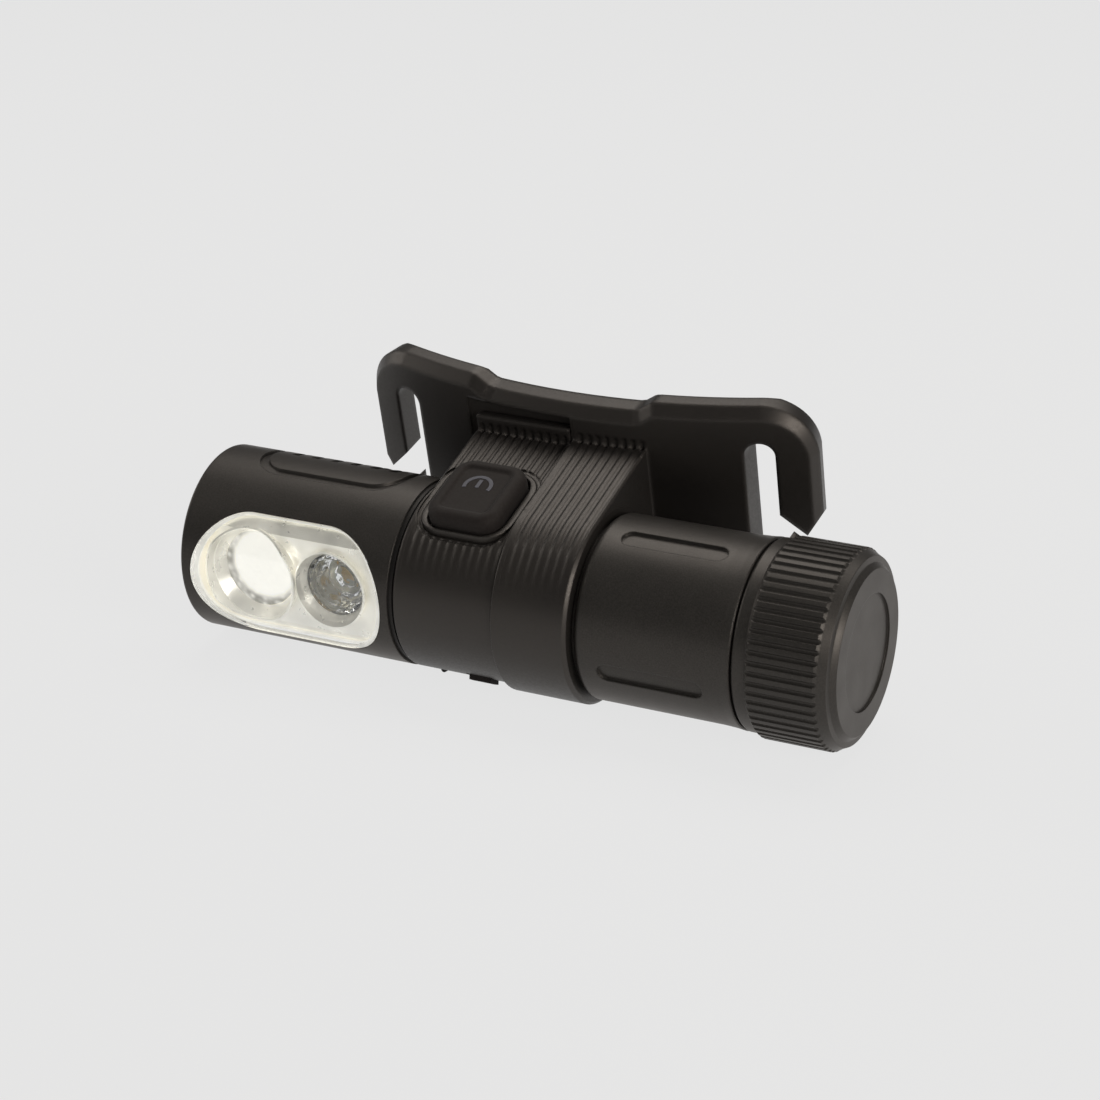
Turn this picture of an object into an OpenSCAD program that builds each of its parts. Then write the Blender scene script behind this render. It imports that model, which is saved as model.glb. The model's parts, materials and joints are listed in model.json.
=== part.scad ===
// Right-angle headlamp torch held in the ring of a moulded strap bracket.
// Sizes in mm. The torch lies along X, the light leaves towards -Y, Z is up.

/* [Torch] */
// Diameter of the lamp head
head_d = 29; // [28.8:0.1:29.6]
// Length of the lamp head
head_len = 36.8; // [33:0.1:42]
// Width of the seal ring between head and switch housing
seam_w = 0.7; // [0.5:0.05:1]
// Length of the switch housing
house_len = 17.05; // [16.9:0.05:20]
// Diameter of the battery tube
tube_d = 28.4; // [28.2:0.1:29.4]
// Length of the battery tube between its shoulder and the cap
tube_len = 25.4; // [24:0.1:40]
// Diameter over the cap's knurl
cap_d = 30.1; // [29.8:0.1:30.5]
// Length of the cap
cap_len = 15.3; // [15:0.1:20]
// Number of ribs in the knurl
knurl_count = 60; // [40:2:70]
// Angle by which the light points below level
light_dip = 5.4; // [0:0.1:8]

/* [Window] */
// Radius of the window's round ends
window_r = 10.25; // [9.9:0.05:10.4]
// Thickness of the window
lens_t = 1.3; // [1:0.1:1.5]
// Share of the room between the optics that the large one takes
flood_share = 0.563; // [0.53:0.005:0.6]

/* [Switch] */
// Width of the button along the torch
button_w = 13.6; // [12.6:0.1:14]
// Length of the button up the slope
button_l = 14.2; // [13:0.1:14.6]
// Height of the button above the slope
button_rise = 2.2; // [1.8:0.1:2.8]
// Travel of the button
button_travel = 0.8; // [0.4:0.1:0.8]
// Distance between the ribs on the slopes
rib_pitch = 1.417; // [1.3:0.01:1.42]

/* [Bracket] */
// Outer diameter of the ring
ring_d = 30.6; // [30.2:0.1:31.4]
// Width of the ring
ring_w = 12.25; // [12:0.05:14]
// Angle by which the plate leans forward
lean = 14; // [12:0.5:18]
// Width of the plate
plate_w = 76; // [75:0.5:84]
// Thickness of the plate
plate_t = 4.5; // [4:0.1:5]
// Height of the plate's top edge above the torch's axis
plate_rise = 24.5; // [24.2:0.1:28]
// Radius to which the plate is bent
bend_r = 109; // [100:1:150]
// Width of a strap slot
slot_w = 4.6; // [4.4:0.1:5]
// Width of the plate's arms beyond the slots
arm_w = 5.7; // [5:0.1:6]
// Height of the gap through which the strap is slid in
arm_gap = 5.9; // [4.6:0.1:6.5]

/* [Hidden] */
$fn = 96;

// radii
head_r = head_d / 2;
house_r = head_r - 0.05;
ring_r = ring_d / 2;
tube_r = tube_d / 2;
cap_r = cap_d / 2;
seam_r = head_r - 0.35;
fit_gap = 0.05;
neck_r = 12.85;
ring_bore_r = neck_r + fit_gap;
screw_r = 11.9;
spigot_r = 11.6;
spigot_bore_r = 10.3;
bay_r = 9.6;
cell_r = 9.2;
tube_bore_r = 9.5;
tail_r = 12.6;
cap_bore_r = tail_r + 0.1;

// stations along the torch, counted from the head's end
side_gap = 0.2;
mouth_gap = 0.5;
x_seam = head_len;
x_house = x_seam + seam_w;
x_house_end = x_house + house_len;
x_ring = x_house_end + side_gap;
x_ring_end = x_ring + ring_w;
x_shoulder = x_ring_end + mouth_gap;
x_cap = x_shoulder + tube_len;
x_end = x_cap + cap_len;
x_spigot_end = x_house + 3.9;
x_screw = x_house_end - 3.35;
x_tail_end = x_cap + 6.1;
x_mid = x_end / 2;
y_mid = 7.58;
axis_h = ring_r;

// window stack, measured from the axis towards the light
gasket_t = 0.4;
seat_r = head_r - lens_t - gasket_t;
pocket_r = window_r - 0.75;
loose = 0.1;
window_edge = 1.7;
window_wall = 1.2;
window_run = head_len - 2 * window_r - window_edge - window_wall;
window_x0 = window_edge + window_r;
window_x1 = window_x0 + window_run;
flood_x = window_x0 - 0.65;
spot_x = window_x1 - 0.2;
optic_gap = 0.8;
optic_room = spot_x - flood_x - optic_gap;
flood_r = min(flood_share * optic_room, window_r - 2.9);
spot_r = min((1 - flood_share) * optic_room, window_r - 4.5);
floor_y = -1.5;
board_y = floor_y - 1.6;
cup_back_y = board_y - 1.1;
cup_front_y = -10.4;
flood_body_r = flood_r - 1.05;
spot_body_r = spot_r - 0.6;
screw_x = flood_x + 0.556 * (spot_x - flood_x);
screw_z = 7.4;

// top panel of the head
panel_x0 = 6.9;
panel_x1 = head_len - 3.7;
panel_w = 16.5;
panel_corner = 5;
fin_x = 10.6;
fin_w = 1.3;
fin_pitch = (panel_x1 - panel_x0 - 5.2) / 6;

// slopes: the same plane angle on housing and bracket
slope_a = 84;
house_slope_a = slope_a - lean + light_dip;
plate_off = ring_r + 1.2;
chamfer = 1.65;
corner_r = 9;
sink = 0.03;
rib_first = 1.62;
foot = (ring_r + (plate_off + chamfer) * sin(lean)) / cos(lean);
plate_x = x_ring - 0.85;
house_crease_s = (plate_off + house_r * cos(slope_a)) / sin(slope_a);
house_crease_z = house_r * sin(slope_a) + house_crease_s * cos(slope_a);
lip_h = 2.6;
lip_t = 1.2;
pocket_depth = lip_t + 0.4;
rib_fade = 2.2;
house_rib = [0.36, 0.27];
ring_rib = [0.6, 0.21];
rib_tip = [0.45, 0.27];

// button, in the plane of the slope
button_x = x_house + 9;
button_s = 2.1;
button_edge = 1.5;
hole_gap = 0.75;
hole_floor = house_r - 2.2;
button_base = hole_floor + button_travel + 0.1;
button_corner = 3.5;
dish_edge = 1.9;
dish_depth = 0.45;
dish_corner = button_corner - 0.4;
rim_w = 0.65;
rim_sink = 0.32;
board_t = 0.8;
switch_h = 1.1;
switch_floor = hole_floor - board_t - switch_h - 0.05;

// charging socket
port_a = -79;
port_x = x_house + 8.75;
pad_w = 11.3;
pad_l = 9.2;
pad_r = house_r - 1.2;
bead_r = 0.5;
bead_l = 4.8;
socket_w = 9;
socket_h = 3.3;

// end of the torch, counted back from the cap's face
end_recess = 0.35;
x_cap_floor = x_end - 1.8;
x_disc = x_cap_floor - 0.8;
x_cell_end = x_disc - 1.4;
x_driver = x_seam + 0.2;
x_carrier = x_driver + 1.2;
x_terminal = x_carrier + 1;
x_cell = x_terminal + 0.8;

// plate outline
slot_mid = plate_w / 2 - arm_w - slot_w / 2;
end_a = asin((plate_w / 2 - 0.95 * corner_r) / (bend_r - chamfer));
slot_top = plate_rise - arm_w;
slot_foot = foot - arm_w;
notch_h = 1.67;
notch_l = 13.05;
notch_r = 10.9;
notch_side_l = 4;
notch_side_r = 3.7;
notch_bend = [[0, 0], [0.22, 0.1], [0.78, 0.9], [1.1, 1.06]];

black_metal = "#1d1d1f";
black_plastic = "#232325";
rubber = "#2b2c2f";
clear = "#dfe6ea";
silver = "#c9cacc";
board_white = "#e8e8e4";
green = "#1f4d34";
gold = "#c9a24a";
steel = "#a8aaad";
yellow = "#e3c64a";
wrap = "#2f5d8c";

function front_y(x) = plate_off + bend_r - sqrt(bend_r * bend_r - pow(x - plate_x, 2));

module on_lamp() translate([-x_mid, -y_mid, axis_h]) rotate([light_dip, 0, 0]) children();

module on_bracket() translate([-x_mid, -y_mid, axis_h]) rotate([lean, 0, 0]) children();

// turns local +Z outwards at angle a, counted from the light up over the torch
module facing(a) rotate([90 - a, 0, 0]) children();

module rod(x0, x1, r) translate([x0, 0, 0]) rotate([0, 90, 0]) cylinder(r = r, h = x1 - x0);

module collar(x0, x1, r, bore) difference() {
  rod(x0, x1, r);
  rod(x0 - 1, x1 + 1, bore);
}

// solid of revolution about the torch's axis from [radius, x] points
module turned(points) rotate([0, 90, 0]) rotate_extrude() polygon(points);

// prism of a flat [x, z] shape, between two depths towards the light
module toward_light(y0, y1) translate([0, y1, 0]) rotate([90, 0, 0]) linear_extrude(y1 - y0) children();

// prism of a flat [y, z] shape along the torch
module along_x(x0, x1) translate([x0, 0, 0]) rotate([90, 0, 90]) linear_extrude(x1 - x0) children();

module stadium(r, x0, x1) {
  translate([x0, 0]) circle(r = r);
  translate([x1, 0]) circle(r = r);
  translate([x0, -r]) square([x1 - x0, 2 * r]);
}

module window_shape(r) stadium(r, window_x0, window_x1);

module round_rect(w, l, r) {
  square([w - 2 * r, l], center = true);
  square([w, l - 2 * r], center = true);
  for (i = [-1, 1])
    for (j = [-1, 1])
      translate([i * (w / 2 - r), j * (l / 2 - r)]) circle(r = r);
}

// block with round corners and a rounded upper edge
module loaf(w, h, e) {
  translate([-w / 2, 0]) square([w, h - e]);
  translate([e - w / 2, 0]) square([w - 2 * e, h]);
  for (i = [-1, 1])
    translate([i * (w / 2 - e), h - e]) circle(r = e);
}

module soft_block(w, l, h, r, e) {
  translate([0, l / 2 - r, 0]) rotate([90, 0, 0]) linear_extrude(l - 2 * r) loaf(w, h, e);
  translate([r - w / 2, 0, 0]) rotate([90, 0, 90]) linear_extrude(w - 2 * r) loaf(l, h, e);
  for (i = [-1, 1])
    for (j = [-1, 1])
      translate([i * (w / 2 - r), j * (l / 2 - r), 0]) rotate_extrude() intersection() {
        loaf(2 * r, h, e);
        square([r, h]);
      }
}

// one groove of [radius, depth] between two ribs: up the slope, and fading out over the round front
module rib_groove(r, run, groove) {
  lift = groove[0] - groove[1];
  translate([0, 0, r + lift]) rotate([-90, 0, 0]) cylinder(r = groove[0], h = run, $fn = 24);
  translate([0, 0, -rib_fade]) rotate([0, 90, 0]) rotate([0, 0, 180])
    rotate_extrude(angle = 45) translate([r + lift + rib_fade, 0]) circle(r = groove[0], $fn = 24);
}

// short upright end of a groove above the crease
module rib_end(y, z) translate([0, y - rib_tip[0] + rib_tip[1], z - 0.5]) {
  cylinder(r = rib_tip[0], h = 1.5, $fn = 24);
  translate([0, 0, 1.5]) sphere(r = rib_tip[0], $fn = 24);
}

// bracket moulding

module plate_at(a) translate([plate_x, plate_off + bend_r, 0]) rotate([0, 0, a]) children();

module bent(a0, a1, points) plate_at(a0 - 90) rotate_extrude(angle = a1 - a0) polygon(points);

module plate_corner() {
  difference() {
    translate([0, -bend_r - 3, 0]) cube([corner_r + 10, plate_t + 6, corner_r + 10]);
    rotate([90, 0, 0]) translate([0, 0, bend_r - plate_t - 4]) cylinder(r = corner_r, h = plate_t + 8);
  }
  difference() {
    translate([0, -bend_r - 1, 0]) cube([corner_r + 10, chamfer + 1, corner_r + 10]);
    rotate([90, 0, 0]) translate([0, 0, bend_r - chamfer])
      cylinder(r1 = corner_r, r2 = corner_r - chamfer - 1, h = chamfer + 1);
  }
}

// everything that is cut from one end of the plate
module plate_end() {
  edge = corner_r - sink;
  translate([edge, -bend_r - 3, -foot - 5]) cube([20, plate_t + 8, foot + plate_rise + 10]);
  translate([0, 0, edge - foot - 1]) linear_extrude(plate_rise + foot - 2 * edge + 2)
    polygon([[edge - chamfer - 1, -bend_r - 1], [edge + 1, -bend_r - 1], [edge + 1, chamfer + 1 - bend_r]]);
  translate([0, 0, plate_rise - edge]) plate_corner();
  translate([0, 0, edge - foot]) mirror([0, 0, 1]) plate_corner();
}

// strap slot, straight through the plate, with the slanted gap in its outer arm
module slot_cut() {
  r = slot_w / 2;
  out = slot_mid + r;
  translate([plate_x, 0, 0]) toward_light(plate_off - 2, plate_off + plate_t + 16) {
    translate([slot_mid, slot_top - r]) circle(r = r);
    translate([slot_mid, r - slot_foot]) circle(r = r);
    translate([slot_mid - r, r - slot_foot]) square([slot_w, slot_top + slot_foot - slot_w]);
    polygon([[out - 1.5, arm_gap + 1.7], [out + 12, arm_gap - 11.8], [out + 12, -11.8], [out - 1.5, 1.7]]);
    // slanted end of the outer arm's edge
    translate([out + arm_w, arm_gap - arm_w]) polygon([[-2, 2], [1, 7], [7, -9]]);
  }
}

// sloping side of the middle notch: front edge chamfer along a straight rise
module notch_side_chamfer(x0, x1, z0, z1) {
  run = norm([x1 - x0, z1 - z0]);
  plate_at(asin((x0 + x1) / 2 / bend_r)) translate([0, 0, (z0 + z1) / 2])
    rotate([0, -atan2(z1 - z0, x1 - x0), 0])
      along_x(-run / 2 - 0.3, run / 2 + 0.3)
        polygon([[-bend_r - 1, -chamfer - 1], [-bend_r - 1, 1], [chamfer + 1 - bend_r, 1]]);
}

module notch_cut() {
  low = plate_rise - notch_h;
  left = [for (p = notch_bend) [-notch_l - p[0] * notch_side_l, low + p[1] * notch_h]];
  right = [for (p = notch_bend) [notch_r + p[0] * notch_side_r, low + p[1] * notch_h]];
  last = len(notch_bend) - 1;
  translate([plate_x, 0, 0]) toward_light(plate_off - 3, plate_off + plate_t + 6)
    polygon([for (i = [last : -1 : 0]) left[i], for (i = [0 : last]) right[i]]);
  bent(asin(-notch_l / bend_r), asin(notch_r / bend_r),
    [[bend_r - chamfer - 1, low + 1], [bend_r + 1, low + 1], [bend_r + 1, low - chamfer - 1]]);
  for (i = [1 : last]) {
    notch_side_chamfer(left[i][0], left[i - 1][0], left[i][1], left[i - 1][1]);
    notch_side_chamfer(right[i - 1][0], right[i][0], right[i - 1][1], right[i][1]);
  }
}

module plate() {
  back = bend_r - plate_t;
  reach = asin((plate_w / 2 + 4) / bend_r);
  difference() {
    bent(-reach, reach, [[back + 0.6, -foot], [bend_r - chamfer, -foot], [bend_r, chamfer - foot],
      [bend_r, plate_rise - chamfer], [bend_r - chamfer, plate_rise], [back + 0.6, plate_rise],
      [back, plate_rise - 0.6], [back, 0.6 - foot]]);
    plate_at(end_a) plate_end();
    slot_cut();
    translate([2 * plate_x, 0, 0]) mirror([1, 0, 0]) {
      plate_at(end_a) plate_end();
      slot_cut();
    }
    notch_cut();
  }
}

module ring_web() {
  up = [-(ring_r - sink) * cos(slope_a), (ring_r - sink) * sin(slope_a)];
  run = plate_off + 3.2 - up[0];
  tilt = run * cos(slope_a) / sin(slope_a);
  difference() {
    along_x(x_ring + 0.12, x_ring_end - 0.05) polygon([up, [plate_off + 3.2, up[1] + tilt],
      [plate_off + 3.2, -up[1] - tilt], [up[0], -up[1]], [0, 0]]);
    // narrow bevel along the slope's outer edge
    facing(slope_a) translate([x_ring_end, 17.2, ring_r - sink]) rotate([90, 0, 0]) linear_extrude(20)
      polygon([[1, -1.5], [1, 5], [-5.5, 5]]);
  }
}

module bracket() color(black_plastic) on_bracket() difference() {
  union() {
    plate();
    ring_web();
    turned([[0, x_ring], [ring_r - 0.1, x_ring], [ring_r, x_ring + 0.1],
      [ring_r, x_ring_end - 0.5], [ring_r - 0.5, x_ring_end], [0, x_ring_end]]);
  }
  rod(x_ring - 1, x_ring_end + 1, ring_bore_r);
  translate([x_house - 1, plate_off - 2, 11.2])
    cube([house_len + 1 + side_gap, pocket_depth + 2, plate_rise - notch_h - chamfer - 11.4]);
  for (i = [0 : 7])
    translate([x_ring + rib_first + i * rib_pitch, 0, 0]) {
      facing(slope_a) rib_groove(ring_r, 17.95, ring_rib);
      rib_end(front_y(x_ring + rib_first + i * rib_pitch), ring_r * sin(slope_a) + 18 * cos(slope_a));
    }
}

// lamp head

module head_shape() rotate([0, 90, 0]) rotate_extrude() difference() {
  square([head_r, head_len]);
  translate([head_r - 0.45, 0]) difference() {
    translate([0, -1]) square([2, 1.45]);
    translate([0, 0.45]) circle(r = 0.45);
  }
}

module panel_shape(inset) translate([(panel_x0 + panel_x1) / 2, 0])
  round_rect(panel_x1 - panel_x0 - 2 * inset, panel_w - 2 * inset, panel_corner - inset / 2);

module head_housing() color(black_metal) on_lamp() difference() {
  union() {
    head_shape();
    rod(head_len - 1, x_spigot_end, spigot_r);
  }
  rod(x_driver, x_spigot_end + 1, spigot_bore_r);
  difference() {
    toward_light(-head_r - 1, 0) window_shape(window_r);
    rod(-1, head_len + 1, seat_r);
  }
  toward_light(-head_r - 1, floor_y) window_shape(pocket_r);
  for (j = [-1, 1])
    translate([screw_x, floor_y + 4, j * screw_z]) rotate([90, 0, 0]) cylinder(r = 1, h = 6);
  // moat round the top panel
  difference() {
    facing(110) linear_extrude(20) panel_shape(0);
    facing(110) linear_extrude(21) panel_shape(1.2);
    rod(-1, head_len + 1, head_r - 0.5);
  }
  // cooling grooves across the back of the panel
  for (i = [0 : 5])
    intersection() {
      collar(fin_x + i * fin_pitch, fin_x + fin_w + i * fin_pitch, head_r + 1, head_r - 0.9);
      facing(110) translate([0, -1.5, 0]) cube([40, 7, 20]);
    }
}

module window_lens() color(clear) on_lamp() intersection() {
  toward_light(-head_r - 1, 0) window_shape(window_r - 0.08);
  collar(-1, head_len + 1, head_r, head_r - lens_t);
}

module lens_gasket() color(rubber) on_lamp() intersection() {
  toward_light(-head_r - 1, 0) difference() {
    window_shape(window_r - 0.08);
    window_shape(pocket_r - 0.3);
  }
  collar(-1, head_len + 1, head_r - lens_t, seat_r);
}

module optic_frame() color(silver) on_lamp() difference() {
  intersection() {
    toward_light(cup_front_y, cup_back_y) window_shape(pocket_r - loose);
    rod(-1, head_len + 1, seat_r - 0.2);
  }
  translate([flood_x, cup_front_y, 0]) rotate([-90, 0, 0]) {
    translate([0, 0, -1]) cylinder(r1 = flood_r + 0.58, r2 = flood_body_r, h = 2.8);
    cylinder(r = flood_body_r, h = 20);
  }
  translate([spot_x, cup_front_y, 0]) rotate([-90, 0, 0]) {
    translate([0, 0, -1]) cylinder(r1 = spot_r + 0.5, r2 = spot_body_r, h = 2.2);
    cylinder(r = spot_body_r, h = 20);
  }
}

module optic_at(x) translate([x, cup_back_y, 0]) rotate([90, 0, 0]) children();

module flood_optic() color(clear) on_lamp() optic_at(flood_x) difference() {
  union() {
    cylinder(r = flood_body_r - loose, h = 4.4);
    translate([0, 0, 4.4]) intersection() {
      translate([0, 0, 0.9 - 22]) sphere(r = 22);
      cylinder(r = flood_body_r - loose, h = 2);
    }
  }
  translate([0, 0, -1]) cylinder(r = 3.6, h = 2.2);
}

module spot_optic() color(clear) on_lamp() optic_at(spot_x) difference() {
  union() {
    cylinder(r1 = 3, r2 = spot_body_r - loose, h = 4.2);
    translate([0, 0, 4.2]) cylinder(r = spot_body_r - loose, h = 0.9);
  }
  translate([0, 0, -1]) cylinder(r = 2.2, h = 3.2);
  translate([0, 0, 4.5]) cylinder(r = spot_body_r - 1, h = 2);
}

module led_board() color(board_white) on_lamp() difference() {
  toward_light(board_y, floor_y) window_shape(pocket_r - loose);
  for (j = [-1, 1])
    translate([screw_x, floor_y + 1, j * screw_z]) rotate([90, 0, 0]) cylinder(r = 1.05, h = 4);
}

module flood_led() color(yellow) on_lamp() translate([flood_x, board_y, 0]) rotate([90, 0, 0]) {
  translate([-2.5, -2.5, 0]) cube([5, 5, 0.7]);
  cylinder(r = 2.1, h = 1);
}

module spot_led() color(yellow) on_lamp() translate([spot_x, board_y, 0]) rotate([90, 0, 0]) {
  translate([-1.75, -1.75, 0]) cube([3.5, 3.5, 0.7]);
  translate([-0.8, -0.8, 0]) cube([1.6, 1.6, 0.9]);
}

module board_screws() color(steel) on_lamp() for (j = [-1, 1])
  translate([screw_x, board_y, j * screw_z]) rotate([-90, 0, 0]) difference() {
    union() {
      translate([0, 0, -0.9]) cylinder(r = 1.7, h = 0.9);
      cylinder(r = 0.95, h = 5);
    }
    for (a = [0, 90])
      rotate([0, 0, a]) translate([-1.2, -0.2, -1.5]) cube([2.4, 0.4, 1.1]);
  }

module driver_board() color(green) on_lamp() difference() {
  rod(x_driver, x_carrier, spigot_bore_r - loose);
  for (a = [150, 210])
    facing(a) translate([x_driver - 1, -0.6, 8.6]) cube([4, 1.2, 3]);
}

module seam_ring() color(rubber) on_lamp() collar(x_seam, x_house, seam_r, spigot_r + fit_gap);

// switch housing

module house_lug() {
  up = [-(house_r - sink) * cos(slope_a), (house_r - sink) * sin(slope_a)];
  back = plate_off - 0.75;
  difference() {
    along_x(x_house + 0.3, x_house_end - 0.03)
      polygon([up, [plate_off, house_crease_z - sink], [plate_off, 12.4], [back, 12.4], [back, 0], [0, 0]]);
    // sloping left edge
    facing(slope_a) translate([0, 40, 0]) rotate([90, 0, 0]) linear_extrude(42)
      polygon([[x_house - 1, house_r - 2], [x_house - 1, house_r + 6], [x_house + 7, house_r + 6]]);
  }
  translate([x_house + 1, plate_off, 12.4])
    cube([house_len - 1.03, lip_t, house_crease_z + lip_h - 12.4]);
}

module button_hole() translate([button_x, button_s, 0]) children();

module port_frame() facing(port_a) translate([port_x, 0, 0]) children();

module tab_at(w, l) translate([2.8 - w / 2, 3.8, 0]) square([w, l]);

module switch_housing() color(black_plastic) on_lamp() difference() {
  union() {
    turned([[0, x_house], [house_r - 0.5, x_house], [house_r, x_house + 0.5],
      [house_r, x_house_end - 0.2], [house_r - 0.2, x_house_end], [0, x_house_end]]);
    rotate([lean - light_dip, 0, 0]) house_lug();
  }
  rod(x_house - 1, x_house_end + 1, bay_r);
  rod(x_house - 1, x_spigot_end + 0.1, spigot_r + fit_gap);
  rod(x_screw - 0.1, x_house_end + 1, screw_r + fit_gap);
  // ribs up the slope
  for (i = [0 : 10])
    translate([x_house + 1.9 + i * rib_pitch, 0, 0]) {
      facing(house_slope_a) rib_groove(house_r, house_crease_s, house_rib);
      rotate([lean - light_dip, 0, 0]) rib_end(plate_off, house_crease_z);
    }
  facing(house_slope_a) {
    // well of the button and of its switch
    translate([button_x, button_s, hole_floor]) linear_extrude(20)
      round_rect(button_w + 2 * hole_gap, button_l + 2 * hole_gap, 4.2);
    translate([button_x - 4.7, button_s - 4.7, switch_floor]) cube([9.4, 9.4, 5]);
  }
  // smooth sunk rim round the well
  difference() {
    facing(house_slope_a) translate([button_x, button_s, 0]) linear_extrude(20)
      round_rect(button_w + 2 * hole_gap + 2 * rim_w, button_l + 2 * hole_gap + 2 * rim_w, 4.2 + rim_w);
    rod(x_house - 1, x_house_end + 1, house_r - rim_sink);
    facing(house_slope_a) translate([x_house - 1, -0.4, 0])
      cube([house_len + 2, 30, house_r - rim_sink - sink]);
  }
  // seat of the charging cover, and the socket's opening
  difference() {
    port_frame() linear_extrude(20) {
      round_rect(pad_w + 0.6, pad_l + 0.6, 2.3);
      tab_at(4.4, 3.3);
      translate([-pad_w / 2 - bead_r - 0.3, -bead_l / 2 - 0.3]) square([2, bead_l + 0.6]);
    }
    rod(x_house - 1, x_house_end + 1, pad_r - 0.3);
  }
  port_frame() linear_extrude(20) round_rect(socket_w + loose, socket_h + loose, 1.2);
}

module switch_board() color(green) on_lamp() facing(house_slope_a)
  translate([button_x - 4.5, button_s - 4.5, switch_floor]) cube([9, 9, board_t]);

module tact_switch() color(steel) on_lamp() facing(house_slope_a)
  translate([button_x, button_s, switch_floor + board_t]) {
    translate([-3, -3, 0]) cube([6, 6, switch_h - 0.3]);
    cylinder(r = 1.6, h = switch_h);
  }

module button() color(rubber) on_lamp() facing(house_slope_a) button_hole() difference() {
  translate([0, 0, button_base])
    soft_block(button_w, button_l, house_r + button_rise - button_base, button_corner, button_edge);
  // dished top
  translate([0, 0, house_r + button_rise - dish_depth + 3 * button_edge]) mirror([0, 0, 1])
    soft_block(button_w - 2 * dish_edge, button_l - 2 * dish_edge, 3 * button_edge,
      dish_corner, button_edge);
}

module charging_port() color(steel) on_lamp() port_frame() difference() {
  translate([0, 0, bay_r + 0.3]) linear_extrude(2.9) round_rect(socket_w, socket_h, 1.15);
  difference() {
    translate([0, 0, bay_r + 0.8]) linear_extrude(5) round_rect(socket_w - 0.6, socket_h - 0.6, 0.9);
    translate([-3.3, -0.35, bay_r]) cube([6.6, 0.7, 3]);
  }
}

module port_cover() color(rubber) on_lamp() {
  intersection() {
    port_frame() linear_extrude(20) {
      round_rect(pad_w, pad_l, 2);
      tab_at(3.6, 2.8);
    }
    union() {
      collar(x_house, x_house_end, house_r, pad_r);
      intersection() {
        collar(x_house, x_house_end, house_r + 0.7, pad_r);
        port_frame() linear_extrude(20) tab_at(3.6, 2.8);
      }
    }
  }
  // round bead on which the cover swings
  port_frame() translate([-pad_w / 2, -bead_l / 2, house_r])
    rotate([-90, 0, 0]) cylinder(r = bead_r, h = bead_l);
}

module contact_carrier() color(board_white) on_lamp()
  collar(x_carrier, x_terminal, spigot_bore_r - loose, 3.6);

module front_contact() color(gold) on_lamp() rod(x_carrier, x_terminal, 3.6 - fit_gap);

// battery tube

module battery_tube() color(black_metal) on_lamp() difference() {
  union() {
    turned([[0, x_screw], [screw_r - 0.3, x_screw], [screw_r, x_screw + 0.3], [screw_r, x_house_end],
      [neck_r, x_house_end], [neck_r, x_shoulder + 1], [0, x_shoulder + 1]]);
    turned([[0, x_shoulder + 1.3], [tube_r, x_shoulder + 1.3], [tube_r, x_cap - 4],
      [tube_r + 0.1, x_cap - 1.8],
      [head_r - 0.06, x_cap - 0.5], [head_r - 0.2, x_cap - 0.36], [tail_r + 0.8, x_cap - 0.36],
      [tail_r + 0.8, x_cap], [tail_r, x_cap], [tail_r, x_tail_end - 0.4],
      [tail_r - 0.4, x_tail_end], [0, x_tail_end]]);
    // rounded shoulder
    rod(x_shoulder, x_shoulder + 1.3, tube_r - 1.3);
    rotate([0, 90, 0]) translate([0, 0, x_shoulder + 1.3]) rotate_extrude()
      translate([tube_r - 1.3, 0]) circle(r = 1.3);
  }
  rod(x_screw - 1, x_tail_end + 1, tube_bore_r);
  collar(x_cap + 1.5, x_cap + 3.2, tail_r + 1, tail_r - 1.75);
  collar(x_house_end - 2.6, x_house_end - 0.9, screw_r + 1, screw_r - 1.55);
  // four long shallow recesses
  for (a = [75, 165, 255, 345])
    difference() {
      facing(a) linear_extrude(20) stadium(1.55, x_shoulder + 5.35, x_cap - 6.35);
      rod(x_shoulder, x_cap, tube_r - 0.5);
    }
}

module seal(x, r) rotate([0, 90, 0]) translate([0, 0, x]) rotate_extrude()
  translate([r, 0]) circle(r = 0.75, $fn = 32);

module tube_seals() color(rubber) on_lamp() {
  seal(x_cap + 2.35, tail_r - 0.95);
  seal(x_house_end - 1.75, screw_r - 0.78);
}

module battery_cell() color(wrap) on_lamp() turned([[0, x_cell], [cell_r - 0.6, x_cell],
  [cell_r, x_cell + 0.6], [cell_r, x_cell_end - 0.4], [cell_r - 0.4, x_cell_end], [0, x_cell_end]]);

module battery_terminal() color(steel) on_lamp() turned([[0, x_terminal], [2.8, x_terminal],
  [3.2, x_terminal + 0.4], [3.2, x_cell], [0, x_cell]]);

// tail cap

module tail_cap() color(black_metal) on_lamp() difference() {
  intersection() {
    translate([x_cap, 0, 0]) rotate([0, 90, 0]) linear_extrude(cap_len) difference() {
      circle(r = cap_r);
      for (i = [0 : knurl_count - 1])
        rotate([0, 0, i * 360 / knurl_count]) translate([cap_r + 0.02, 0]) circle(r = 0.4, $fn = 16);
    }
    turned([[0, x_cap], [head_r - 0.25, x_cap], [head_r - 0.05, x_cap + 0.3],
      [head_r - 0.05, x_cap + 2], [cap_r, x_cap + 2.6], [cap_r, x_end - 2.6],
      [cap_r - 0.35, x_end - 2.2], [cap_r - 0.97, x_end - 0.95],
      [cap_r - 1.9, x_end - 0.8], [cap_r - 2.4, x_end - 0.25], [cap_r - 2.65, x_end], [0, x_end]]);
  }
  rod(x_cap - 1, x_tail_end + 0.4, cap_bore_r);
  rod(x_cap, x_cap_floor, spigot_bore_r + 0.2);
  rod(x_end - end_recess, x_end + 1, 8.8);
}

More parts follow.
